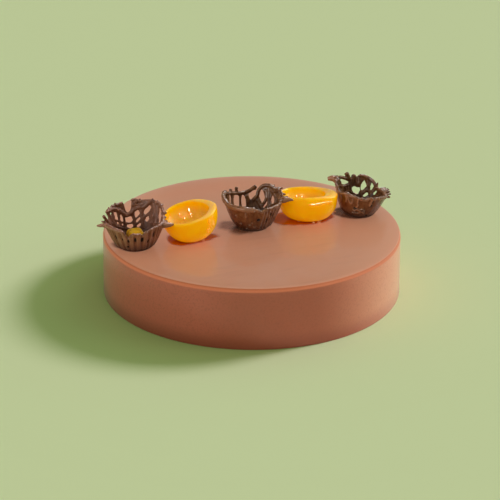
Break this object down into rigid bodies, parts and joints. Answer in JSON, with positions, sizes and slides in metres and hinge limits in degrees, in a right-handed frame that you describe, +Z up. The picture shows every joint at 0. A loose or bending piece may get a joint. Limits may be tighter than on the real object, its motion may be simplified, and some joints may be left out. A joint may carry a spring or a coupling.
{
  "type": "apricot cake",
  "caption": "Round uncut cake under milk chocolate glaze, with a row of chocolate lace baskets and glazed apricot halves across its top; rests on its flat base.",
  "frame": {"origin": "centre of the cake's flat base", "axes": "+Z up; +X along the row of toppings, from the fruit-filled basket to the basket at the other end; the toppings' fronts face between -X and -Y, 22.4 degrees from -Y"},
  "size_m": [0.2483, 0.2416, 0.0816],
  "materials": {
    "glaze": "satin milk chocolate glaze",
    "chocolate": "semi-gloss dark chocolate",
    "apricot": "wet syrup glaze",
    "fruit": "moist fruit"
  },
  "bodies": {
    "root": {"cake": "glaze", "basket_left": "chocolate", "basket_middle": "chocolate", "basket_right": "chocolate", "apricot_left": "apricot", "apricot_right": "apricot", "fruit_piece": "fruit"}
  },
  "joints": []
}
